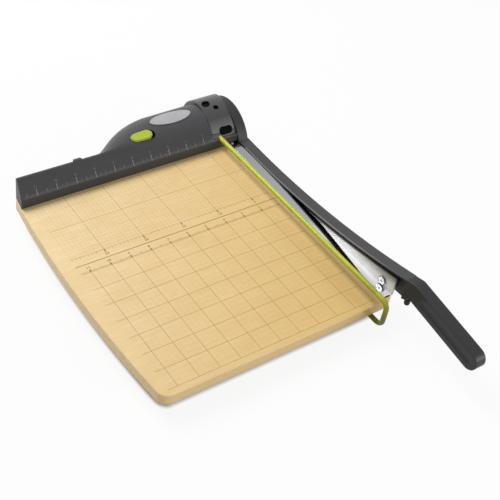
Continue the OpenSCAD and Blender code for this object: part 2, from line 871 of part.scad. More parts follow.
module arm() {
    color("dimgray")
        place() {
            hub_body();
            difference() {
                union() {
                    // Thin lip over the bed knife, then the top wall, the outer wall and the blade's rib
                    along_x(-arm_lip, blade_gap + 0.3)
                        intersection() {
                            sweep_band(0, 2, neck_y, pivot[0]);
                            translate([neck_y - 1, lip_clear])
                                square([pivot[0], 60]);
                        }
                    along_x(blade_gap + 0.2, arm_right)
                        sweep_band(0, arm_wall, neck_y, pivot[0]);
                    along_x(arm_right - arm_wall, arm_right)
                        web_band(neck_y, pivot[0] - hub_r + 6);
                    along_x(rib_x0, rib_x0 + arm_wall)
                        intersection() {
                            sweep_band(1, rib_depth, rib_front, pivot[0]);
                            translate([neck_y, -edge_low + 1])
                                square([pivot[0], 80]);
                        }
                }
                rod_x(pivot, hub_r - arm_wall / 2, -arm_lip - 1, arm_right + 1);
                for (y = blade_screw_y)
                    rod_x([y, blade_mid(y)], blade_screw_r + run_fit, -1, rib_x0 + arm_wall + 1);
            }
            // Tang inside the grip
            difference() {
                along_x(tang_x0, tang_x1)
                    union() {
                        grip_frame()
                            translate([-4, tang_y[0]])
                                square([tang_l + 4, tang_y[1] - tang_y[0]]);
                        polygon([[neck_y + eps, arm_top(neck_y) - arm_wall], bend + [0, -7], bend + [0, -20],
                            [neck_y + eps, arm_top(neck_y) - rib_depth]]);
                    }
                for (s = grip_screw_at)
                    rod_x(grip_pt(s, grip_h / 2), grip_screw_r + run_fit, tang_x0 - 1, tang_x1 + 1);
            }
        }
}

module blade() {
    color("whitesmoke")
        place()
            difference() {
                intersection() {
                    along_x(blade_gap, blade_gap + blade_t)
                        intersection() {
                            difference() {
                                translate(edge_c)
                                    circle(r = edge_r, $fn = long_fn);
                                translate(sweep_c)
                                    circle(r = arm_sweep_r + blade_inset, $fn = long_fn);
                            }
                            translate([blade_front, -120])
                                square([blade_back - blade_front, 240]);
                        }
                    // Ground bevel on the far side of the cutting edge
                    translate([blade_gap, edge_c[0], edge_c[1]])
                        rotate([0, 90, 0])
                            cylinder(r1 = edge_r, r2 = edge_r - bevel_h, h = blade_t, $fn = long_fn);
                }
                rod_x([blade_screw_y[0], blade_mid(blade_screw_y[0])], blade_screw_r + run_fit, -1, 4);
                for (y = [blade_screw_y[1], blade_screw_y[2]])
                    translate([blade_gap, y, blade_mid(y)])
                        rotate([0, 90, 0])
                            flat_screw(3.6, blade_screw_r + run_fit, 5);
            }
}

module blade_screws() {
    reach = rib_x0 + arm_wall + 1;
    color("gainsboro")
        place() {
            translate([blade_gap, blade_screw_y[0], blade_mid(blade_screw_y[0])])
                rotate([0, 90, 0])
                    pan_screw(5.2, 1.9, blade_screw_r, reach);
            for (y = [blade_screw_y[1], blade_screw_y[2]])
                translate([blade_gap + 0.05, y, blade_mid(y)])
                    rotate([0, 90, 0])
                        flat_screw(3.5, blade_screw_r, reach);
        }
}

// Point of the grip's frame: along it from the bend, and down across it
function grip_pt(along, down) = bend + along * polar(1, grip_turn) + down * polar(1, grip_turn + 90);
module grip_outline() {
    polygon([[neck_y - fit, arm_top(neck_y)], bend, grip_pt(grip_l, 0), grip_pt(grip_l, grip_h),
        grip_pt(0, grip_h), [-14.5, 10], [neck_y - fit, 7]]);
    translate(grip_pt(grip_l, grip_h / 2))
        circle(d = grip_h);
}

module handle_grip() {
    groove = 1.2;
    color("#3a3a3c")
        place()
            difference() {
                along_x(-arm_lip, arm_right)
                    grip_outline();
                // Shallow thumb groove on the inner side
                along_x(-arm_lip - 1, -arm_lip + groove)
                    grip_frame() {
                        translate([12, grip_h / 2 - 4])
                            square([grip_l - 16, 8]);
                        for (s = [12, grip_l - 4])
                            translate([s, grip_h / 2])
                                circle(r = 4);
                    }
                // Pocket of the tang
                along_x(tang_x0 - fit, tang_x1 + fit)
                    union() {
                        grip_frame()
                            translate([-5, tang_y[0] - fit])
                                square([tang_l + 5 + fit, tang_y[1] - tang_y[0] + 2 * fit]);
                        polygon([[neck_y + 1, arm_top(neck_y) - arm_wall + fit], bend + [0, -7 + fit],
                            bend + [0, -20 - fit], [neck_y + 1, arm_top(neck_y) - rib_depth - fit]]);
                    }
                for (s = grip_screw_at)
                    translate(concat([arm_right], grip_pt(s, grip_h / 2)))
                        rotate([0, -90, 0]) {
                            translate([0, 0, -1])
                                cylinder(r = 3.4, h = 3);
                            cylinder(r = grip_screw_r + 0.3, h = arm_right - tang_x1 + 1);
                        }
                translate([peg_x, peg_y, -20])
                    cylinder(r = peg_r / 2 + fit, h = 36);
            }
}

module grip_screws() {
    color("gainsboro")
        place()
            for (s = grip_screw_at)
                translate(concat([arm_right - 2], grip_pt(s, grip_h / 2)))
                    rotate([0, -90, 0])
                        pan_screw(3.1, 1.6, grip_screw_r, arm_right - 2 - tang_x0 - 1.8);
}

peg_x = 6;
peg_y = -12;
peg_r = 3.5;
module stop_peg() {
    color("#2b2b2d")
        place()
            translate([peg_x, peg_y, 0]) {
                translate([0, 0, -1])
                    cylinder(r1 = peg_r - 0.6, r2 = peg_r, h = 2);
                translate([0, 0, 1])
                    cylinder(r = peg_r, h = 5.8);
                translate([0, 0, 6.8 - eps])
                    cylinder(r = peg_r / 2, h = 7.6);
            }
}

// Centre line of the guard rail in its plane: place and heading of each ring
rail_steps = 8;
rail_heel_y = rail_bend_r - rail_leg_y;
function rail_arc(z, a0, a1) = [for (i = [0 : rail_steps])
    let (a = mix(a0, a1, i / rail_steps))
    concat([rail_heel_y, z] + polar(rail_bend_r, a), [a + 90])];
rail_reach = bar_y + rail_in - 0.5;
rail_path = concat(
    [[rail_reach, rail_front_z - (rail_reach + rail_leg_y) * tan(rail_tilt), 180 - rail_tilt]],
    rail_arc(rail_front_z - rail_tangent, 90 - rail_tilt, 180),
    rail_arc(rail_bend_r - rail_drop, 180, 270),
    [[rail_run - rail_leg_y, -rail_drop, 360]]);
rail_sides = 32;
module guard_rail() {
    last = len(rail_path) - 1;
    points = [for (p = rail_path, k = [0 : rail_sides - 1])
        let (b = 360 * k / rail_sides)
        concat([rail_r * cos(b) - rail_x], [p[0], p[1]] + polar(rail_r * sin(b), p[2] - 90))];
    sides = [for (i = [0 : last - 1], k = [0 : rail_sides - 1])
        let (n = (k + 1) % rail_sides, a = i * rail_sides, b = a + rail_sides)
        each [[a + k, b + k, a + n], [a + n, b + k, b + n]]];
    front = [for (k = [0 : rail_sides - 1]) k];
    back = [for (k = [0 : rail_sides - 1]) (last + 1) * rail_sides - 1 - k];
    color("yellowgreen")
        place()
            polyhedron(points, concat([front], sides, [back]), convexity = 6);
}

module rail_clip() {
    flange = clip_screw_off + 5;
    low = rail_drop + rail_r + 1.6;
    color("#333335")
        place()
            translate([-rail_x, clip_at - rail_clip_l / 2, 0])
                difference() {
                    union() {
                        translate([-6.5, 0, -low])
                            cube([13, rail_clip_l, low - board_t]);
                        translate([-flange, 0, -board_t - 3])
                            cube([2 * flange, rail_clip_l, 3]);
                    }
                    translate([0, -1, -rail_drop])
                        rotate([-90, 0, 0])
                            cylinder(r = rail_r + run_fit, h = rail_clip_l + 2);
                    translate([-rail_r - run_fit, -1, -rail_drop])
                        cube([2 * rail_r + 2 * run_fit, rail_clip_l + 2, rail_drop]);
                    for (side = [-1, 1])
                        translate([side * clip_screw_off, rail_clip_l / 2, -board_t - 5])
                            cylinder(r = clip_screw_r + 0.3, h = 6);
                }
}

module rail_clip_screws() {
    color("gainsboro")
        place()
            for (side = [-1, 1])
                translate([-rail_x + side * clip_screw_off, clip_at, -board_t - 3])
                    pan_screw(3.2, 2, clip_screw_r, 10);
}

// Rubber foot under one corner of the board
module foot(k) {
    color("#262628")
        place()
            translate([foot_spots[k][0], foot_spots[k][1], floor_z])
                difference() {
                    union() {
                        cylinder(d1 = foot_d - 5, d2 = foot_d - 3, h = 2);
                        translate([0, 0, 2])
                            cylinder(d1 = foot_d - 3, d2 = foot_d, h = foot_h - 2);
                    }
                    translate([0, 0, -1])
                        cylinder(r = 5.5, h = foot_h - foot_floor + 1);
                    cylinder(r = foot_screw_r + 0.3, h = foot_h + 1);
                }
}

module foot_screws() {
    color("gainsboro")
        place()
            for (p = foot_spots)
                translate([p[0], p[1], -board_t - foot_floor])
                    pan_screw(4.2, 2.6, foot_screw_r, foot_floor + foot_screw_l - 2);
}

board();
ledger_strip();
ledger_screws();
ruler_housing();
housing_screws();
pivot_cover();
cover_screws();
badge_plate();
lock_button();
lock_bolt();
pivot_bracket();
bracket_screws();
pivot_bolt();
pivot_nut();
nut_washer();
head_washer();
pivot_bushing();
lift_spring();
arm();
lock_lug();
blade();
blade_screws();
handle_grip();
grip_screws();
stop_peg();
guard_rail();
rail_clip();
rail_clip_screws();
foot(0);  // foot_front_left
foot(1);  // foot_front_right
foot(2);  // foot_back_left
foot(3);  // foot_back_right
foot_screws();
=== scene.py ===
"""Looks of the guillotine paper cutter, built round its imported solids."""
import json
import math

import bmesh
import bpy
from mathutils import Matrix, Vector


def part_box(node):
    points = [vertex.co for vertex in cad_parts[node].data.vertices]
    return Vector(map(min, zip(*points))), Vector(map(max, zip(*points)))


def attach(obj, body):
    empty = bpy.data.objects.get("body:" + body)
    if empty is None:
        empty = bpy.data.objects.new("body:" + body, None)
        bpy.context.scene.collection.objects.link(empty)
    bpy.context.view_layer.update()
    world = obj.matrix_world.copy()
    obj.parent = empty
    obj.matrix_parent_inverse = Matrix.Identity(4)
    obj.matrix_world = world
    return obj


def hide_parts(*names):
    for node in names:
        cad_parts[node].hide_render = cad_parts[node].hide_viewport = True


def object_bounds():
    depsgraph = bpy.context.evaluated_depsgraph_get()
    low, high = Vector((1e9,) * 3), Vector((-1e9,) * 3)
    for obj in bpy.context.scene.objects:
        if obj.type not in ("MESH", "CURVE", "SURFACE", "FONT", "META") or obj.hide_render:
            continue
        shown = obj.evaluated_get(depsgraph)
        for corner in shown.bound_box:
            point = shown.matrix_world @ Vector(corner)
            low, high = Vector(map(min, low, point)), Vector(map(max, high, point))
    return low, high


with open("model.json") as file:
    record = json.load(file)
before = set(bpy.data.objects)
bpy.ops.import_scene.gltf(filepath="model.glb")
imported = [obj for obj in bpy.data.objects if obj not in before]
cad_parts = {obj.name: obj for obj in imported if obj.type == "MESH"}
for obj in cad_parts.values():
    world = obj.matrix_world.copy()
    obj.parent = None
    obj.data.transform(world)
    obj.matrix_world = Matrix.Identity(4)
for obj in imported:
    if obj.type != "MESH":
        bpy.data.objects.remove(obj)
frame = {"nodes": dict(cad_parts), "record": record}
cad_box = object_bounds()
nodes = frame["nodes"]

# Bench frame in millimetres: X from the cutting line, Y from the board's front edge, Z from its top.
MM = 0.001
CUT = Vector((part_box("ledger_strip")[1].x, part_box("board")[0].y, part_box("board")[1].z))

# Board: its left and back edges, the bow of the left one, and the print on its top.
BOARD_LEFT, BOARD_BACK = 309.0, 329.0
BOW_Y, BOW_LENGTH = 164.5, 3015.6
INCH = 25.4
GRID_Y = 9.5
GRID_LEFT, GRID_RIGHT = -290.6, -25.1
INCHES_END, METRIC_START, METRIC_END = 177.8, 203.0, 305.0
INCH_FIGURES, METRIC_FIGURES, BOARD_FIGURE_H, BOARD_INK = 184.6, 195.4, 3.6, 0.06

# Ruler bar: the foot and slope of its face, and the scale printed on it.
SLOPE = math.radians(48.5)
BAR_Y, BAR_H = 311.0, 12.0
UP = Vector((0, math.cos(SLOPE), math.sin(SLOPE)))
FACE = Vector((0, -math.sin(SLOPE), math.cos(SLOPE)))
SCALE_START, SCALE_INCH, SCALE_FOOT = 4.4, 25.12, 0.7
SCALE_FIGURES, SCALE_FIGURE_H, SCALE_INK = 11.2, 2.9, 0.12

# Arm: the pivot's axis, the sweep of its curved top, its two sides, and where beam and hub meet.
PIVOT = (354.5, -17.0)
ARM_SWEEP, ARM_SWEEP_Y, ARM_SWEEP_TOP = 1170.0, 274.5, 1171.2
ARM_LEFT, ARM_RIGHT = -1.4, 13.4
BEAM_BACK, HUB_FRONT = 296.0, 303.0

# Plain white, and the rays by which the eye sees it: straight, mirrored and through glass.
WHITE = (1, 1, 1, 1)
SEEN_BY = ("Is Camera Ray", "Is Glossy Ray", "Is Transmission Ray")


def bench(x, y, z):
    """Point of the bench frame as a place in the scene."""
    return CUT + Vector((x, y, z)) * MM


def bench_verts(bm):
    """The corners of a mesh, each with its X, Y and Z in the bench frame."""
    for vert in bm.verts:
        yield (vert, *((vert.co - CUT) / MM))


def clamp(value, high=1.0):
    """A number kept between nothing and a highest value."""
    return min(max(value, 0.0), high)


def root(value):
    """Square root of a number or a shader value."""
    return value.math("SQRT") if isinstance(value, Value) else math.sqrt(value)


def up_face(y, z):
    """How far up the sloped face of the bar a place lies."""
    return (y - BAR_Y) * math.cos(SLOPE) + (z - BAR_H) * math.sin(SLOPE)


def under_sweep(y, z):
    """How far a place lies under the curved top of the arm."""
    sag = ARM_SWEEP_Y - y
    return ARM_SWEEP_TOP - root(ARM_SWEEP ** 2 - sag * sag) - z


# Finishes

class Value:
    """A shader socket. Python arithmetic on it adds Math nodes."""

    def __init__(self, graph, socket):
        self.graph = graph
        self.socket = socket

    def math(self, operation, other=None, swap=False):
        terms = (other, self) if swap else (self, other)
        inputs = {i: t for i, t in enumerate(terms) if t is not None}
        return self.graph.node("ShaderNodeMath", {"operation": operation}, inputs)

    def __add__(self, other):
        return self.math("ADD", other)

    def __sub__(self, other):
        return self.math("SUBTRACT", other)

    def __rsub__(self, other):
        return self.math("SUBTRACT", other, swap=True)

    def __mul__(self, other):
        return self.math("MULTIPLY", other)

    def __truediv__(self, other):
        return self.math("DIVIDE", other)

    def __lt__(self, other):
        return self.math("LESS_THAN", other)

    def __gt__(self, other):
        return self.math("GREATER_THAN", other)

    __radd__ = __add__
    __rmul__ = __mul__

    def max(self, *others):
        largest = self
        for other in others:
            largest = largest.math("MAXIMUM", other)
        return largest

    def min(self, other):
        return self.math("MINIMUM", other)

    def beside(self, pitch):
        """Distance to the nearest multiple of a pitch."""
        return self.math("PINGPONG", pitch / 2)

    def within(self, low, high):
        return (self > low) * (self < high)

    def span(self, low, high):
        """Maps a 0 to 1 value to a range."""
        return self * (high - low) + low


class Graph:
    """A node tree and its first shader. All further nodes come from one method."""

    def __init__(self, owner, shader):
        owner.use_nodes = True
        self.tree = owner.node_tree
        self.shader = self.tree.nodes[shader]

    def put(self, target, value):
        """Links a shader value to an input, or sets the input to a constant."""
        if isinstance(value, Value):
            self.tree.links.new(value.socket, target)
        else:
            target.default_value = value

    def set(self, socket, value):
        self.put(self.shader.inputs[socket], value)

    def node(self, kind, settings=None, inputs=None, output=0):
        made = self.tree.nodes.new(kind)
        for key, value in (settings or {}).items():
            if key == "stops":
                ramp = made.color_ramp
                while len(ramp.elements) < len(value):
                    ramp.elements.new(0.5)
                for element, (place, colour) in zip(ramp.elements, value):
                    element.position = place
                    element.color = colour
            else:
                setattr(made, key, value)
        for key, value in (inputs or {}).items():
            self.put(made.inputs[key], value)
        return Value(self, made.outputs[output])

    def whiten(self, glow, output, share=1.0):
        """Shows the eye a share of plain white over the tree's own shader."""
        path = self.node("ShaderNodeLightPath").socket.node
        straight, mirrored, through = [Value(self, path.outputs[key]) for key in SEEN_BY]
        mixed = self.node("ShaderNodeMixShader", None, {
            0: straight.max(mirrored, through) * share,
            1: Value(self, self.shader.outputs[0]),
            2: self.node(glow, None, {"Color": WHITE, "Strength": 1.0})})
        self.put(self.tree.nodes[output].inputs["Surface"], mixed)


class Finish(Graph):
    """One material: a Principled shader and the nodes that vary over the surface."""

    def __init__(self, name, colour, roughness, **constants):
        self.material = bpy.data.materials.new(name)
        super().__init__(self.material, "Principled BSDF")
        self.set("Base Color", (*colour, 1))
        self.set("Roughness", roughness)
        for socket, value in constants.items():
            self.set(socket.replace("_", " ").title().replace("Ior", "IOR"), value)
        self.material.diffuse_color = (*colour, 1)

    def place(self, scale=(1, 1, 1), shift=(0, 0, 0)):
        """Object coordinates, in metres, moved and then scaled."""
        spot = self.node("ShaderNodeTexCoord", output=3)
        return self.node("ShaderNodeMapping", {"vector_type": "TEXTURE"},
                         {0: spot, 1: shift, 3: tuple(1 / s for s in scale)})

    def bench_axes(self):
        """X, Y and Z of the bench frame in millimetres."""
        spot = self.place(shift=tuple(CUT))
        split = self.node("ShaderNodeSeparateXYZ", None, {0: spot}).socket.node
        return [Value(self, out) * (1 / MM) for out in split.outputs]

    def noise(self, vector, scale, detail, roughness=0.5):
        return self.node("ShaderNodeTexNoise", None, {
            "Vector": vector, "Scale": scale, "Detail": detail, "Roughness": roughness})

    def blend(self, factor, low, high):
        inputs = {0: factor, 6: low if isinstance(low, Value) else (*low, 1),
                  7: high if isinstance(high, Value) else (*high, 1)}
        return self.node("ShaderNodeMix", {"data_type": "RGBA"}, inputs, output=2)

    def layered(self, tone, *layers):
        """Colours laid over one another, each by its own share."""
        for share, colour in layers:
            tone = self.blend(share, tone, colour)
        return tone

    def bump(self, height, depth, strength):
        self.set("Normal", self.node("ShaderNodeBump", None, {
            "Strength": strength, "Distance": depth, "Height": height}))


def srgb(*levels):
    """Linear colour of 0 to 255 display levels."""
    parts = [v / 255 for v in levels]
    return tuple(p / 12.92 if p <= 0.04045 else ((p + 0.055) / 1.055) ** 2.4 for p in parts)


# Moulded grains: how fine each is, and how deep in metres.
SMOOTH, SATIN, SOFT = (900.0, 0.00001), (1400.0, 0.00003), (900.0, 0.00005)
GLOSSY, FACED, TEXTURED = (700.0, 0.00001), (1400.0, 0.00002), (1000.0, 0.0001)


def mottled(name, colour, roughness, grain, gloss):
    """Plastic or paint with a fine grain. Returns the finish and its slightly mottled colour."""
    finish = Finish(name, colour, roughness, specular_ior_level=gloss)
    fineness, depth = grain
    spot = finish.place()
    mottle = finish.noise(spot, 90.0, 3.0)
    finish.set("Roughness", mottle.span(roughness - 0.05, roughness + 0.07))
    finish.bump(finish.noise(spot, fineness, 2.0, 0.6), depth, 0.5)
    darker = tuple(c * 0.86 for c in colour)
    paler = tuple(min(1, c * 1.14) for c in colour)
    return finish, finish.blend(mottle, darker, paler)


def moulded(name, colour, roughness, grain=SMOOTH, gloss=0.35):
    """Satin plastic of one colour."""
    finish, skin = mottled(name, colour, roughness, grain, gloss)
    finish.set("Base Color", skin)
    return finish


def metal(name, colour, roughness):
    """Bare metal with fine lines."""
    finish = Finish(name, colour, roughness, metallic=1.0)
    lines = finish.noise(finish.place((8, 8, 8)), 900.0, 3.0, 0.6)
    finish.set("Roughness", lines.span(roughness * 0.7, roughness * 1.4))
    finish.set("Base Color", finish.blend(lines, tuple(c * 0.93 for c in colour), colour))
    finish.bump(lines, 0.00002, 0.3)
    return finish


def knife_steel(name, stops, metallic, roughness, shade=0.0):
    """Ground steel whose brightness changes along the cut, a painted reflection. Stops are places in
    mm and greys.
    """
    finish = Finish(name, (0.7, 0.7, 0.7), roughness, metallic=metallic)
    lines = finish.noise(finish.place((60, 2, 60)), 700.0, 3.0, 0.6)
    y, z = finish.bench_axes()[1:]
    length = 330
    ramp = [(place / length, (grey, grey * 1.005, grey * 1.02, 1)) for place, grey in stops]
    tone = finish.node("ShaderNodeValToRGB", {"stops": ramp}, {0: y / length})
    tone = finish.blend(lines * 0.2, tone, (0.42, 0.42, 0.43))
    if shade:
        # Painted shade under the arm: darker towards the blade's upper edge and its front end.
        low, fade, back = 19, 8, 90
        top = (low - under_sweep(y, z)) / fade * (back - y) / back
        tone = finish.blend(top * shade, tone, (0.06, 0.06, 0.06))
    finish.set("Base Color", tone)
    finish.set("Roughness", lines.span(roughness * 0.75, roughness * 1.25))
    return finish


def screw_steel():
    """Bright screw at the blade's front end, with painted shade in the recess of its drive and in a
    ring round its head.
    """
    finish = Finish("screw_steel", (0.7, 0.7, 0.7), 0.3, metallic=0.6)
    screw_y, screw_z, drive, rim_in, rim_out = 25.0, 6.0, 1.5, 4.6, 5.4
    y, z = finish.bench_axes()[1:]
    ripple = finish.noise(finish.place((8, 8, 8)), 900.0, 3.0, 0.6)
    dy, dz = y - screw_y, z - screw_z
    away = root(dy * dy + dz * dz)
    # Painted shade: dark in the drive's recess and in a ring round the head.
    dark = (away < drive).max(away.within(rim_in, rim_out)) * 0.85
    bright = finish.blend(ripple, (0.72, 0.72, 0.73), (0.8, 0.8, 0.81))
    finish.set("Base Color", finish.blend(dark, bright, (0.03, 0.03, 0.03)))
    finish.set("Roughness", ripple.span(0.25, 0.4))
    return finish


def painted_arm():
    """Textured paint, with painted shade black on the arm's inner side and darker up the hub, and a
    painted highlight along the top's left edge.
    """
    finish, skin = mottled("arm_paint", srgb(60, 60, 62), 0.5, TEXTURED, 0.35)
    x, y, z = finish.bench_axes()
    below = under_sweep(y, z)
    beam = y < BEAM_BACK
    lip_top, lip_foot, inner_top, inner_right = -0.6, 1.3, 1.6, 8
    # Painted highlight along the top's left edge, weaker towards the handle.
    edge = below.within(lip_top, lip_foot) * (x < ARM_LEFT + 1) * beam
    # Painted shade: black on the inner side under the lip, darker towards the hub's top.
    inner = (below > inner_top) * (x < inner_right) * beam
    hub = (z - 4) / 24 * (y > HUB_FRONT)
    edge_highlight = ((y + 10) / 80).min(1.0) * 0.7
    finish.set("Base Color", finish.layered(
        skin, (hub * 0.8, srgb(26, 26, 28)), (inner, srgb(8, 8, 9)),
        (edge * edge_highlight, srgb(150, 150, 152))))
    return finish


def maple():
    """Lacquered maple with the printed inch and centimetre grids, and painted light and shade over
    its top and edges.
    """
    finish = Finish("maple", srgb(232, 203, 148), 0.45, coat_weight=0.35, coat_roughness=0.22,
                    specular_ior_level=0.3)
    x, y, z = finish.bench_axes()
    grain = finish.noise(finish.place((9, 70, 70)), 3.0, 5.0, 0.6)
    pores = finish.noise(finish.place((30, 520, 520)), 2.6, 2.0, 0.5)
    clouds = finish.noise(finish.place((1, 1.6, 1)), 22.0, 3.0, 0.55)
    # Painted shade: the top darker towards the right and the front, paler on the left.
    deeper = (x + 300) / 390 + (260 - y) / 650
    # Painted highlight on a band down the rounded top edge, and painted shade on the sides below it.
    edge_top, edge_foot = -0.25, -1.9
    tone = finish.layered(
        finish.blend(deeper, srgb(245, 221, 173), srgb(226, 190, 118)),
        (grain.span(-0.25, 0.65), srgb(218, 183, 120)),
        (clouds.span(-0.3, 0.5), srgb(221, 182, 116)),
        (pores.span(-0.25, 0.35), srgb(196, 160, 100)),
        (z.within(edge_foot, edge_top) * 0.4, srgb(255, 238, 204)),
        ((z < edge_foot) * 0.25, srgb(204, 160, 92)))
    gy = y - GRID_Y
    wide = x.within(GRID_LEFT, GRID_RIGHT)
    inches = wide * gy.within(-0.3, INCHES_END + 0.2)
    metric = wide * gy.within(METRIC_START - 0.2, METRIC_END)

    def grid(pitch, half, base=0.0):
        """Lines both ways, of a given half width."""
        return (x.beside(pitch) < half).max((gy - base).beside(pitch) < half)

    def comb(pitch, half, low, high):
        """A row of ticks between two heights."""
        return (x.beside(pitch) < half) * gy.within(low, high)

    fine = (grid(INCH / 4, 0.16) * inches * 0.65).max(grid(5, 0.13, METRIC_START) * metric)
    middle = grid(10, 0.15, METRIC_START) * metric
    strong = (grid(INCH, 0.27) * inches).max(grid(50, 0.26, METRIC_START) * metric)
    rows = wide * comb(INCH / 16, 0.2, INCHES_END, 180.4).max(
        comb(INCH / 2, 0.3, INCHES_END, 181.6), comb(INCH, 0.85, INCHES_END, 181.6),
        comb(5, 0.2, 201.2, METRIC_START), comb(50, 0.85, 198.8, METRIC_START),
        comb(10, 0.25, 200.6, METRIC_START))
    divide = gy.within(189.9, 190.9) * x.within(-292, -22.5)
    ink = (fine * 0.22).max(middle * 0.3, strong * 0.64, rows * 0.8, divide * 0.82)
    finish.set("Base Color", finish.blend(ink * (z > -0.2), tone, srgb(96, 62, 22)))
    finish.set("Roughness", grain.span(0.38, 0.52))
    finish.bump(pores, 0.00004, 0.2)
    return finish


def scale_face():
    """The housing's plastic with the inch scale printed low on the sloped face."""
    finish, skin = mottled("scale_plastic", srgb(65, 65, 67), 0.42, SATIN, 0.25)
    x, y, z = finish.bench_axes()
    run = (x + SCALE_START) * (INCH / SCALE_INCH)
    up = up_face(y, z)
    out = (z - BAR_H) * math.cos(SLOPE) - (y - BAR_Y) * math.sin(SLOPE)

    def comb(pitch, half, high):
        """A row of ticks from the scale's foot up."""
        return (run.beside(pitch) < half) * up.within(SCALE_FOOT, high)

    ticks = (comb(INCH / 16, 0.2, 3.4) * 0.5).max(
        comb(INCH / 4, 0.2, 5) * 0.6, comb(INCH / 2, 0.28, 6) * 0.7, comb(INCH, 0.42, 8.2))
    ticks = ticks * out.within(-0.5, 0.5) * run.within(-297, -12)
    finish.set("Base Color", finish.blend(ticks * 0.5, skin, srgb(190, 190, 192)))
    return finish


def rail_paint():
    """Glossy lime paint, with painted shade darker towards the front bend and down the bent leg."""
    finish, skin = mottled("lime_paint", srgb(186, 191, 36), 0.24, GLOSSY, 0.4)
    y, z = finish.bench_axes()[1:]
    bend_y, leg_y, leg_top = 60, 4, 8
    # Painted shade towards the front bend and down the leg.
    leg = (bend_y - y) / 110 * (y < bend_y) + (leg_top - z) / 40 * (y < leg_y)
    finish.set("Base Color", finish.blend(leg, skin, srgb(116, 114, 20)))
    return finish


def barrel_plastic():
    """Plastic of the pivot cover, with a painted highlight towards its foot, a dark line of painted
    shade in its step and the bar's grey below it.
    """
    finish, skin = mottled("housing_plastic", srgb(42, 42, 44), 0.32, FACED, 0.6)
    x, y, z = finish.bench_axes()
    up = up_face(y, z)
    cover_left, front_y = -46, 334
    step_foot, step_top, highlight_top = 8.8, 9.6, 28
    front = (y < front_y) * x.within(cover_left, 0)
    # Painted highlight on the cover's lower front, fading up the face.
    pale = (highlight_top - up) / 18 * (up > step_top) * front
    # Painted shade: a dark line in the step along the cover's foot.
    finish.set("Base Color", finish.layered(
        skin, (pale * 0.62, srgb(132, 132, 133)), ((up < step_foot) * front, srgb(62, 62, 64)),
        (up.within(step_foot, step_top) * front, srgb(20, 20, 21))))
    return finish


# Painted reflection along the cut, as places in mm and greys: the bed knife's, then the blade's.
BED_REFLECTION_TONES = ((0, 0.92), (60, 0.95), (110, 0.9), (150, 0.4), (330, 0.29))
BLADE_REFLECTION_TONES = ((0, 0.58), (30, 0.7), (50, 0.84), (80, 0.95), (130, 0.95), (200, 0.6))
FINISHES = {
    "maple": maple(),
    "polished_steel": knife_steel("polished_steel", BED_REFLECTION_TONES, 1.0, 0.1),
    "zinc_steel": metal("zinc_steel", (0.72, 0.73, 0.74), 0.28),
    "spring_steel": metal("spring_steel", (0.2, 0.21, 0.23), 0.35),
    "bronze": metal("bronze", (0.6, 0.42, 0.2), 0.35),
    "housing_plastic": barrel_plastic(),
    "arm_paint": painted_arm(),
    "grip_plastic": moulded("grip_plastic", srgb(34, 34, 36), 0.42, SATIN),
    "badge_grey": moulded("badge_grey", srgb(168, 168, 171), 0.3),
    "lime_plastic": moulded("lime_plastic", srgb(176, 190, 62), 0.35),
    "lime_paint": rail_paint(),
    "rubber": moulded("rubber", srgb(40, 40, 41), 0.7, SOFT),
}
BLADE = knife_steel("blade_steel", BLADE_REFLECTION_TONES, 0.2, 0.4, shade=0.85)
SCREW = screw_steel()
# Near-black for sheets that stand for the shade seen in openings: painted shade.
SHADE_BLACK = moulded("painted_shade_black", srgb(9, 9, 10), 0.8, gloss=0.1)
SCALE = scale_face()
FIGURES_DARK = moulded("figures_dark", srgb(92, 70, 38), 0.6)
FIGURES_PALE = moulded("figures_pale", srgb(128, 128, 130), 0.6)
SLOT_OF = {s["node"]: s["material_slot"] for s in frame["record"]["subparts"]}
BODY_OF = {n: body for body, names in frame["record"]["behaviour"]["bodies"].items() for n in names}


# Pieces

def add(name, data):
    """New object of the scene."""
    made = bpy.data.objects.new(name, data)
    bpy.context.scene.collection.objects.link(made)
    return made


def mesh_object(name, bm, finish):
    """Object of a bmesh, with its finish."""
    mesh = bpy.data.meshes.new(name)
    bm.to_mesh(mesh)
    bm.free()
    mesh.materials.append(finish.material)
    return add(name, mesh)


def finish_piece(name, bm, slot, body, stands_for=(), finish=None):
    """Makes a visible piece of a bmesh, gives it its finish and sets it on its body."""
    piece = mesh_object(name, bm, finish or FINISHES[slot])
    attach(piece, body)
    if stands_for:
        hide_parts(*stands_for)
    return piece


def smooth_by_angle(bm, degrees):
    """Smooth shading that keeps the edges sharper than an angle."""
    for face in bm.faces:
        face.smooth = True
    for edge in bm.edges:
        edge.smooth = edge.is_manifold and edge.calc_face_angle() < math.radians(degrees)


def round_edges(piece, width, segments=3):
    """Bevel modifier on the edges that are sharper than an angle."""
    edge = piece.modifiers.new("rounded_edges", "BEVEL")
    edge.width = width * MM
    edge.segments = segments
    edge.profile = 0.5
    edge.material = -1
    edge.limit_method = "ANGLE"
    edge.angle_limit = math.radians(35)
    edge.harden_normals = True
    return piece


def score(bm, place, normal, geom=None):
    """Cuts new edges where a plane crosses a mesh, or some of it."""
    bmesh.ops.bisect_plane(bm, geom=geom or bm.verts[:] + bm.edges[:] + bm.faces[:], dist=1e-7,
                           plane_co=place, plane_no=normal)


def spoke(vert):
    """Straight way out from the pivot's axis to a corner."""
    axis = bench(0, *PIVOT)
    return Vector((0, vert.co.y - axis.y, vert.co.z - axis.z))


# The housing's long flank rises to its crown on a wider sweep, and its left end is raked.
FLANK_START, FLANK_RISE, FLANK_LEVEL = -195.9, 27.3, 26.5
FLANK_UP = Vector((0, 0.654, 0.757))
SOLID_FLANK, SHOWN_FLANK = (-105.0, 165.0), (-88.0, 184.0)
BAR_END, BAR_RAKE = -296.0, 0.15

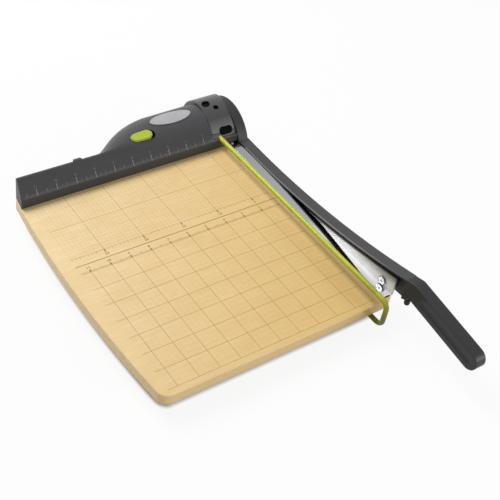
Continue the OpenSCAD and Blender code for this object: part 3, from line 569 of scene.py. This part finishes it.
# The seams of housing, cover and hub lean, and the cover's mouth reaches further over the hub.
SEAM_Y, SEAM_LEAN, SEAM_FOOT, HOUSING_SEAM = 318.0, 0.125, 3, -41.0
MOUTH_X, MOUTH_Y, MOUTH_LEAN, MOUTH_RUN, MOUTH_END = -8, 346.0, 0.14, 36.0, 402.0
HUB_X, HUB_Y, HUB_R = -2, 300, 40.0
RIM_LOW, RIM_HIGH, RIM_Y, RIM_RUN = 48.0, 49.6, 322.0, 20
RIM_GAP, RIM_GAP_Y, RIM_GAP_RUN = 2.4, 336, 18

# The board's front edge, the blade's upper edge and the rail's front lie a little off the solids.
BOARD_TRIM, BOARD_TRIM_RUN = 2.4, 20
BLADE_EDGE, BLADE_DROP = 7.6, 1.6
RAIL_DROP, RAIL_LENGTH, RAIL_FOOT, RAIL_RISE = 5.5, 317.0, -14, 30
LEG_Y, LEG_FORWARD = 2, 2.5

# The badge turns about the dome's axis, nearer to the cover and slimmer than its solid.
BADGE_AXIS, BADGE_SHIFT, BADGE_SLIM = (348.8, -8.1), 9.2, 0.12
BADGE_TURN, BADGE_MIDDLE = math.radians(-2), math.radians(86)

# Holes of the cover: place along the axis, tilt, length, width and turn, angles in degrees.
COVER_HOLES = ((-30, -5.8, 14.5, 10.4, 60), (-20.4, 6.8, 7.4, 7.4, 0), (-19, 44.7, 19.5, 10.8, 0))


def flank(x, crown, radius):
    """Share of the full rise that a sweep of a given crown and radius has at x."""
    run = clamp(crown - x, crown - FLANK_START)
    return max(1 - (radius - math.sqrt(radius ** 2 - run ** 2)) / FLANK_RISE, 0.0)


def lean(y):
    """How far the seams lean to the right at a given depth."""
    return SEAM_LEAN * max(y - SEAM_Y, 0.0)


def mouth(y):
    """How much further the cover reaches over the hub, behind where the arm swings past."""
    return MOUTH_LEAN * min(max(y - MOUTH_Y, 0.0), MOUTH_RUN, max(MOUTH_END - y, 0.0) * 2)


def settle(bm, seam=None):
    """Draws the skin of the flank down to the wider sweep, and leans the ends of the housing."""
    level = (bench(0, BAR_Y, BAR_H) - CUT).dot(FLANK_UP) + FLANK_LEVEL * MM
    for vert, x, y, z in bench_verts(bm):
        rise = (vert.co - CUT).dot(FLANK_UP) - level
        if rise > 0 and x > FLANK_START + 0.5:
            was, now = flank(x, *SOLID_FLANK), flank(x, *SHOWN_FLANK)
            vert.co -= FLANK_UP * rise * max(0.0, 1 - now / max(was, 0.05))
        if x < BAR_END:
            vert.co.x += BAR_RAKE * max(y - BAR_Y, 0.0) * MM
        if seam is not None and x > seam and up_face(y, z) > SEAM_FOOT:
            vert.co.x += lean(y) * MM


def lean_cover(bm, right=math.inf):
    """Leans all that lies left of a place."""
    for vert, x, y, _ in bench_verts(bm):
        if x < right:
            vert.co.x += lean(y) * MM


def lean_hub(bm):
    """Leans the hub's inner rim with the cover, under which it runs."""
    for vert, x, y, _ in bench_verts(bm):
        out = spoke(vert)
        if x < HUB_X and y > HUB_Y and out.length > HUB_R * MM:
            gap = RIM_GAP * clamp((RIM_GAP_Y - y) / RIM_GAP_RUN)
            vert.co.x += (gap + lean(y) + mouth(y)) * MM
            vert.co -= out.normalized() * MM
        elif RIM_LOW * MM < out.length < RIM_HIGH * MM and y > RIM_Y:
            vert.co -= out.normalized() * clamp((y - RIM_Y) / RIM_RUN) * MM


def move_badge(bm):
    """Sets the badge nearer to the cover, a little higher and slimmer."""
    axis = bench(0, *BADGE_AXIS)
    turn = Matrix.Rotation(BADGE_TURN, 3, "X")
    for vert in bm.verts:
        arm = vert.co - axis
        angle = math.atan2(arm.z, arm.y)
        slim = Matrix.Rotation((angle - BADGE_MIDDLE) * -BADGE_SLIM, 3, "X")
        vert.co = axis + turn @ (slim @ arm) + Vector((BADGE_SHIFT * MM, 0, 0))
    settle(bm)


def trim_board(bm):
    """Sets the front edge of the board back a little."""
    for vert, _, y, _ in bench_verts(bm):
        vert.co.y += BOARD_TRIM * max(1 - y / BOARD_TRIM_RUN, 0.0) * MM


def lower_blade(bm):
    """Lowers the blade's upper edge, which leaves a dark gap under the arm's lip."""
    for vert, _, y, z in bench_verts(bm):
        if under_sweep(y, z) < BLADE_EDGE:
            vert.co.z -= BLADE_DROP * MM


def lower_rail(bm):
    """Lets the guard rail fall towards its front bend, and sets its leg forward."""
    for vert, _, y, z in bench_verts(bm):
        vert.co.z -= RAIL_DROP * (1 - y / RAIL_LENGTH) * clamp((z - RAIL_FOOT) / RAIL_RISE) * MM
        if y < LEG_Y:
            vert.co.y -= LEG_FORWARD * MM


def widen(bm, x, tilt, length, width, turn):
    """Cuts a wider oblong hole through the barrel of the cover over one of its holes."""
    out = Vector((0, -math.sin(math.radians(tilt)), math.cos(math.radians(tilt))))
    along = Matrix.Rotation(math.radians(turn), 3, out) @ Vector((1, 0, 0))
    across = out.cross(along)
    axis = bench(x, *PIVOT)
    reach, half = (length - width) / 2 * MM, width / 2 * MM
    sides = 16
    rays = [math.tau * (k + 0.5) / sides for k in range(sides)]

    def sheet():
        """Faces on the hole's side of the barrel."""
        return [f for f in bm.faces if (f.calc_center_median() - axis).dot(out) > 30 * MM]

    def inside(point):
        """Whether a point lies within the oblong."""
        arm = point - axis
        run = max(abs(arm.dot(along)) - reach, 0.0)
        return math.hypot(run, arm.dot(across)) < half * 0.995

    for ray in rays:
        way = along * math.cos(ray) + across * math.sin(ray)
        shift = along * math.copysign(reach, math.cos(ray))
        faces = sheet()
        edges = {e for f in faces for e in f.edges}
        verts = {v for f in faces for v in f.verts}
        score(bm, axis + shift + way * half, way, faces + list(edges) + list(verts))
    gone = [f for f in sheet() if inside(f.calc_center_median())]
    bmesh.ops.delete(bm, geom=gone, context="FACES")
    rim = [e for e in bm.edges if e.is_boundary]
    bmesh.ops.bridge_loops(bm, edges=rim)


def shape_cover(bm):
    """Widens the cover's holes, cuts the step along its foot and leans it over the hub."""
    for hole in COVER_HOLES:
        widen(bm, *hole)
    foot = bench(0, BAR_Y, BAR_H)
    step_low, step_high, skin_r, step_depth = 9.2, 9.6, 50.4, 0.8
    for up in (step_low, step_high):
        score(bm, foot + UP * up * MM, UP)
    for vert in bm.verts:
        out = spoke(vert)
        if (vert.co - foot).dot(UP) < (step_low + 0.1) * MM and out.length > skin_r * MM:
            vert.co -= out.normalized() * step_depth * MM
    bmesh.ops.recalc_face_normals(bm, faces=bm.faces)
    lean_cover(bm)
    for vert, x, y, _ in bench_verts(bm):
        if x > MOUTH_X:
            vert.co.x += mouth(y) * MM


def eased(node, width, shape=None, finish=None):
    """Merged copy of a solid with its edges rounded, which stands for the solid."""
    bm = bmesh.new()
    bm.from_mesh(nodes[node].data)
    bmesh.ops.remove_doubles(bm, verts=bm.verts, dist=1e-6)
    bmesh.ops.dissolve_limit(bm, angle_limit=math.radians(0.05), verts=bm.verts, edges=bm.edges)
    if shape:
        bmesh.ops.triangulate(bm, faces=[f for f in bm.faces if len(f.verts) > 4])
        shape(bm)
    smooth_by_angle(bm, 30)
    piece = finish_piece(node + "_eased", bm, SLOT_OF[node], BODY_OF[node], (node,), finish)
    round_edges(piece, width)


# Grip: the way it runs, the bend it starts from, its straight length, its depth and its back end.
GRIP_ALONG, GRIP_DOWN = Vector((0, -0.98927, -0.14608)), Vector((0, 0.14608, -0.98927))
GRIP_BEND = Vector((0, -20.5, 39.0))
GRIP_LENGTH, GRIP_DEPTH = 96, 24
GRIP_BACK, GRIP_BACK_TOP, GRIP_BACK_FOOT = -7.6, 35.7, 7
GRIP_HEEL = (-14.5, 10)
THUMB_START, THUMB_STEPS = 8, ((7.4, 0.0), (1.6, -1.1))


def grip():
    """Handle grip: its side outline drawn out to its width, rounded, with a long thumb hollow."""
    bm = bmesh.new()

    def spot(run, drop):
        return (GRIP_BEND + GRIP_ALONG * run + GRIP_DOWN * drop).yz

    def corner(y, z):
        return bm.verts.new(bench(ARM_LEFT, y, z))

    tip = corner(*spot(GRIP_LENGTH, 0))
    bmesh.ops.spin(bm, geom=[tip], cent=bench(ARM_LEFT, *spot(GRIP_LENGTH, GRIP_DEPTH / 2)),
                   axis=(1, 0, 0), angle=math.pi, steps=16)
    end = bm.verts[:]
    below = [corner(*spot(0, GRIP_DEPTH)), corner(*GRIP_HEEL), corner(GRIP_BACK, GRIP_BACK_FOOT)]
    above = [corner(GRIP_BACK, GRIP_BACK_TOP), corner(*GRIP_BEND.yz)]
    bm.faces.new(above + end + below)
    drawn = bmesh.ops.extrude_face_region(bm, geom=bm.faces[:])
    moved = [v for v in drawn["geom"] if isinstance(v, bmesh.types.BMVert)]
    bmesh.ops.translate(bm, verts=moved, vec=((ARM_RIGHT - ARM_LEFT) * MM, 0, 0))
    bmesh.ops.recalc_face_normals(bm, faces=bm.faces)
    start = bench(0, *spot(THUMB_START, 0))
    score(bm, start, GRIP_ALONG)
    weight = bm.edges.layers.float.new("bevel_weight_edge")
    for edge in bm.edges:
        side = [abs(f.normal.x) > 0.9 for f in edge.link_faces]
        if side[0] != side[1] and min(v.co.y for v in edge.verts) < bench(0, -8, 0).y:
            edge[weight] = 1.0
    flat = [f for f in bm.faces
            if f.normal.x < -0.9 and (f.calc_center_median() - start).dot(GRIP_ALONG) > 0]
    for inset, depth in THUMB_STEPS:
        bmesh.ops.inset_region(bm, faces=flat, thickness=inset * MM, depth=depth * MM,
                               use_even_offset=True, use_boundary=True)
    smooth_by_angle(bm, 42)
    piece = finish_piece("handle_grip_shaped", bm, "grip_plastic", "arm", ("handle_grip",))
    round_edges(piece, 6.0, 8).modifiers[0].limit_method = "WEIGHT"


TYPE_SIZE = 1.42  # type size over the height of a figure


def figure(text, height):
    """Flat mesh of a number, centred, of a given height in millimetres."""
    curve = bpy.data.curves.new("figure", "FONT")
    curve.body = text
    curve.align_x = "CENTER"
    curve.align_y = "CENTER"
    curve.size = height * TYPE_SIZE * MM
    curve.resolution_u = 3
    holder = add("figure", curve)
    bpy.context.view_layer.update()
    shape = holder.evaluated_get(bpy.context.evaluated_depsgraph_get())
    mesh = bpy.data.meshes.new_from_object(shape)
    bpy.data.objects.remove(holder)
    bpy.data.curves.remove(curve)
    return mesh


def row_of_figures(name, items, height, slot, finish, turn=Matrix.Identity(4)):
    """One piece of several numbers, each at its place on the bench."""
    bm = bmesh.new()
    for text, place in items:
        mesh = figure(text, height)
        first = len(bm.verts)
        bm.from_mesh(mesh)
        bpy.data.meshes.remove(mesh)
        bm.verts.ensure_lookup_table()
        bmesh.ops.transform(bm, matrix=Matrix.Translation(place) @ turn, verts=bm.verts[first:])
    finish_piece(name, bm, slot, "base", (), finish)


def sleeve():
    """Near-black sleeve under the pivot cover, painted shade seen through its three holes."""
    left, width, radius, thick, lean_right = -37, 30, 48.2, 0.6, -20.0
    first, sweep = math.radians(68), math.radians(74)
    axis = bench(left, *PIVOT)
    bm = bmesh.new()
    turn = Matrix.Rotation(first, 4, "X")
    edge = [bm.verts.new(axis + turn @ Vector((dx * MM, radius * MM, 0))) for dx in (0, width)]
    line = bm.edges.new(edge)
    bmesh.ops.spin(bm, geom=[line] + edge, cent=axis, axis=(1, 0, 0), angle=sweep, steps=36)
    bmesh.ops.recalc_face_normals(bm, faces=bm.faces)
    bmesh.ops.solidify(bm, geom=bm.faces[:], thickness=thick * MM)
    lean_cover(bm, lean_right)
    smooth_by_angle(bm, 30)
    finish_piece("shade_sleeve", bm, "rubber", "base", (), SHADE_BLACK)


def slide_plate():
    """Near-black plate that closes the button's opening from below and slides with it, painted shade
    seen in the opening.
    """
    button, normal = (-131.6, 338.05, 32.12), Vector((0, -0.2585, 0.966))
    length, width, thick, depth = 44, 13, 0.6, 6.6
    bm = bmesh.new()
    bmesh.ops.create_grid(bm, x_segments=4, y_segments=2, size=0.5)
    bmesh.ops.scale(bm, verts=bm.verts, vec=(length * MM, width * MM, 1))
    bmesh.ops.solidify(bm, geom=bm.faces[:], thickness=thick * MM)
    tilt = Matrix.Rotation(math.atan2(-normal.y, normal.z), 4, "X")
    place = bench(*button) - normal * depth * MM
    bmesh.ops.transform(bm, matrix=Matrix.Translation(place) @ tilt, verts=bm.verts)
    settle(bm)
    finish_piece("slide_plate", bm, "rubber", "lock", (), SHADE_BLACK)


def bar_tab():
    """Low moulded tab on the back of the bar's top edge."""
    length, width, height, corner, rim = 11, 4.5, 2.6, 2, 0.7
    bm = bmesh.new()

    def rounded(edges, offset, segments):
        bmesh.ops.bevel(bm, geom=edges, offset=offset * MM, offset_type="OFFSET", affect="EDGES",
                        segments=segments, profile=0.5, material=-1)

    bmesh.ops.create_cube(bm, size=1.0)
    bmesh.ops.scale(bm, verts=bm.verts, vec=(length * MM, width * MM, height * MM))
    rounded([e for e in bm.edges if abs(e.verts[0].co.z - e.verts[1].co.z) > MM], corner, 5)
    rounded([e for e in bm.edges if min(v.co.z for v in e.verts) > (height / 2 - 0.1) * MM], rim, 3)
    bmesh.ops.translate(bm, verts=bm.verts, vec=bench(-221.5, 330.6, 30.1))
    smooth_by_angle(bm, 40)
    finish_piece("bar_tab", bm, "housing_plastic", "base", (), SCALE)


EASED = {"ledger_strip": 0.35, "foot_front_left": 0.8, "foot_front_right": 0.8,
         "foot_back_left": 0.8, "foot_back_right": 0.8, "stop_peg": 0.5, "rail_clip": 0.5}
for node, width in EASED.items():
    eased(node, width)
eased("board", 3.0, shape=trim_board)
eased("ruler_housing", 0.5, shape=lambda bm: settle(bm, HOUSING_SEAM), finish=SCALE)
eased("pivot_cover", 0.6, shape=shape_cover)
eased("cover_screws", 0.2, shape=lean_cover)
eased("arm", 0.6, shape=lean_hub)
eased("blade", 0.15, shape=lower_blade, finish=BLADE)
eased("blade_screws", 0.5, finish=SCREW)
eased("lock_button", 0.7, shape=settle)
eased("badge_plate", 0.25, shape=move_badge)
eased("guard_rail", 0.4, shape=lower_rail)
grip()
sleeve()
slide_plate()
bar_tab()
inches = [(str(n), bench(-INCH * n, GRID_Y + INCH_FIGURES, BOARD_INK)) for n in range(1, 12)]
metric = [(str(n), bench(-10 * n, GRID_Y + METRIC_FIGURES, BOARD_INK)) for n in range(5, 30, 5)]
raised = (UP * SCALE_FIGURES + FACE * SCALE_INK) * MM
scale = [(str(n), bench(-SCALE_INCH * n - SCALE_START, BAR_Y, BAR_H) + raised) for n in range(2, 12)]
row_of_figures("board_inches", inches, BOARD_FIGURE_H, "housing_plastic", FIGURES_DARK)
row_of_figures("board_centimetres", metric, BOARD_FIGURE_H, "housing_plastic", FIGURES_DARK)
row_of_figures("scale_inches", scale, SCALE_FIGURE_H, "badge_grey", FIGURES_PALE,
               Matrix.Rotation(SLOPE, 4, "X"))
for node, solid in nodes.items():
    solid.data.materials.clear()
    solid.data.materials.append(FINISHES[SLOT_OF[node]].material)


# Floor, light and camera

# Under the board the floor shows its own shade, from some way inside the board's edges.
SHADE_ROUND, SHADE_SIDE, SHADE_FRONT, SHADE_Y = 40.0, 2.3, 1.7, 1.5
SHADE_START, SHADE_FADE = 12.0, 10.0
FLOOR_WHITE, SHADE_SHARE = 0.9, 0.88


def floor():
    """Pale floor that stays white to the eye and keeps a soft shadow."""
    pale = Finish("pale_floor", (0.85, 0.85, 0.85), 0.9)
    x, y = pale.bench_axes()[:2]
    bow = (y - BOW_Y) * (y - BOW_Y) / BOW_LENGTH
    side = (SHADE_ROUND - (x + BOARD_LEFT - bow) * SHADE_SIDE).max(0.0)
    front = (SHADE_ROUND - (y - SHADE_Y) * SHADE_FRONT).max(0.0)
    inside = (SHADE_ROUND - root(side * side + front * front)).min(BOARD_BACK - y).min(0 - x)
    under = ((inside - SHADE_START) / SHADE_FADE).max(0.0).min(1.0)
    pale.whiten("ShaderNodeEmission", "Material Output", FLOOR_WHITE - under * SHADE_SHARE)
    bm = bmesh.new()
    bmesh.ops.create_grid(bm, x_segments=1, y_segments=1, size=6.0)
    bmesh.ops.translate(bm, verts=bm.verts, vec=(0, 0, cad_box[0][2] - 0.2 * MM))
    plane = mesh_object("floor", bm, pale)


def soft_box(name, place, aim, size, power):
    """Square lamp that looks at a place."""
    lamp = bpy.data.lights.new(name, "AREA")
    lamp.shape = "SQUARE"
    lamp.size = size
    lamp.energy = power
    box = add(name, lamp)
    box.location = place
    box.rotation_euler = (Vector(aim) - Vector(place)).to_track_quat("-Z", "Y").to_euler()


def studio():
    """Soft light from all round, white to the eye, with two lamps."""
    world = bpy.data.worlds.new("studio")
    bpy.context.scene.world = world
    sky = Graph(world, "Background")
    sky.set("Color", WHITE)
    sky.set("Strength", 0.32)
    sky.whiten("ShaderNodeBackground", "World Output")
    soft_box("key", (-0.4, 1.4, 1.95), (0, 0, 0), 1.3, 46)
    soft_box("fill", (0.85, -1.4, 0.5), (0, 0.1, 0), 0.6, 10)


def camera():
    """The photo's view, fitted to the printed grids."""
    lens = bpy.data.cameras.new("photo_view")
    lens.sensor_width = 36.0
    lens.lens = 73.39
    forward = Vector((0.49257, 0.54746, -0.67651))
    right = Vector((0.81425, -0.56431, 0.13620))
    up = Vector((0.3072, 0.6179, 0.7237))
    turn = Matrix((right, up, -forward)).transposed().to_4x4()
    eye = add("photo_view", lens)
    eye.matrix_world = Matrix.Translation(bench(-674.09, -505.88 + GRID_Y, 783.84)) @ turn
    bpy.context.scene.camera = eye


floor()
studio()
camera()
bpy.context.scene.view_settings.view_transform = "Standard"
